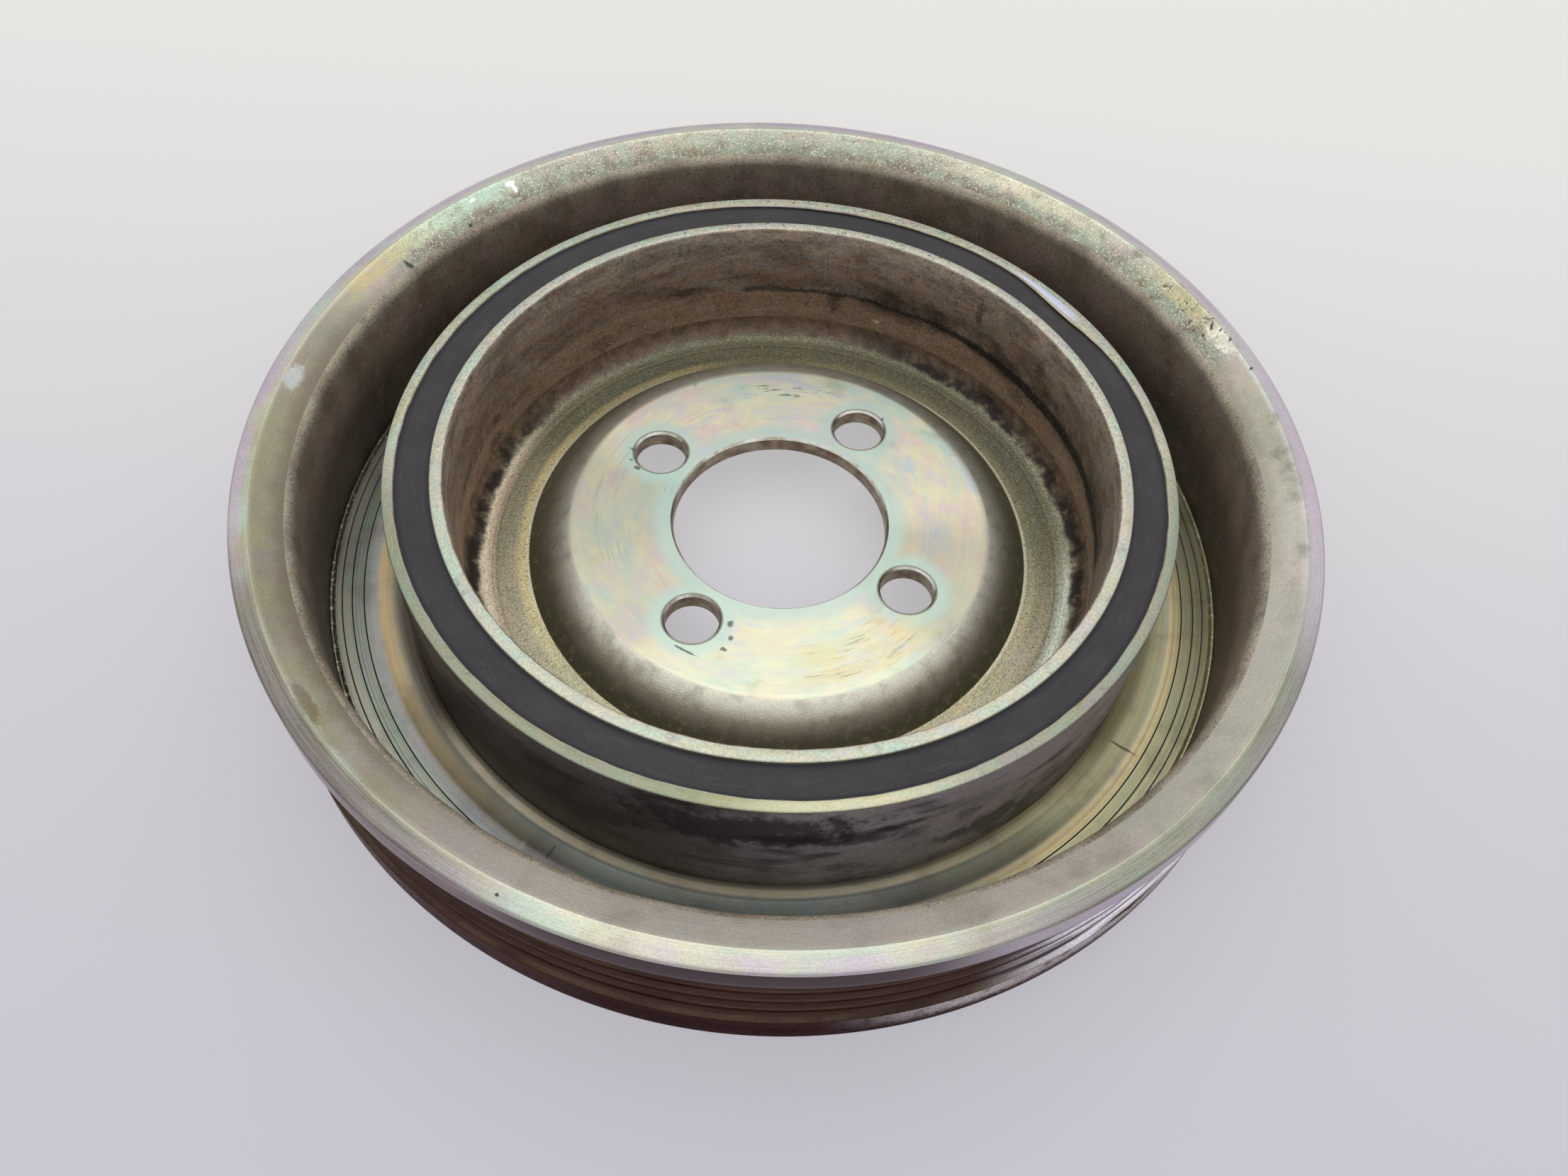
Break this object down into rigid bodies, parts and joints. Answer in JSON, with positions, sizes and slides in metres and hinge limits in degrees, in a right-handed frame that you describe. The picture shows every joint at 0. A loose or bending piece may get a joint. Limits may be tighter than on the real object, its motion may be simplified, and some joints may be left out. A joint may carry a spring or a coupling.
{
  "type": "crankshaft pulley",
  "caption": "Crankshaft pulley: a pressed cup-shaped hub that bolts on through its seat, a bonded rubber ring round it, and a grooved rim for a ribbed belt with a raised lip.",
  "frame": {"origin": "centre of the bore at the hub's face that seats on the crankshaft", "axes": "+Z along the shaft's axis, out of the cup and away from the engine; the bolt holes lie at 45, 135, 225 and 315 degrees from +X"},
  "size_m": [0.1674, 0.1674, 0.0299],
  "materials": {
    "plated_hub_steel": "yellow zinc chromate plating, faced seat, satin elsewhere",
    "bonded_rubber": "matte",
    "sleeve_steel": "plated rim, dull and sooty outside",
    "plated_rim_steel": "yellow zinc chromate plating over turned steel"
  },
  "bodies": {
    "root": {"hub": "plated_hub_steel", "rubber_ring": "bonded_rubber", "sleeve": "sleeve_steel", "pulley_rim": "plated_rim_steel"}
  },
  "joints": []
}
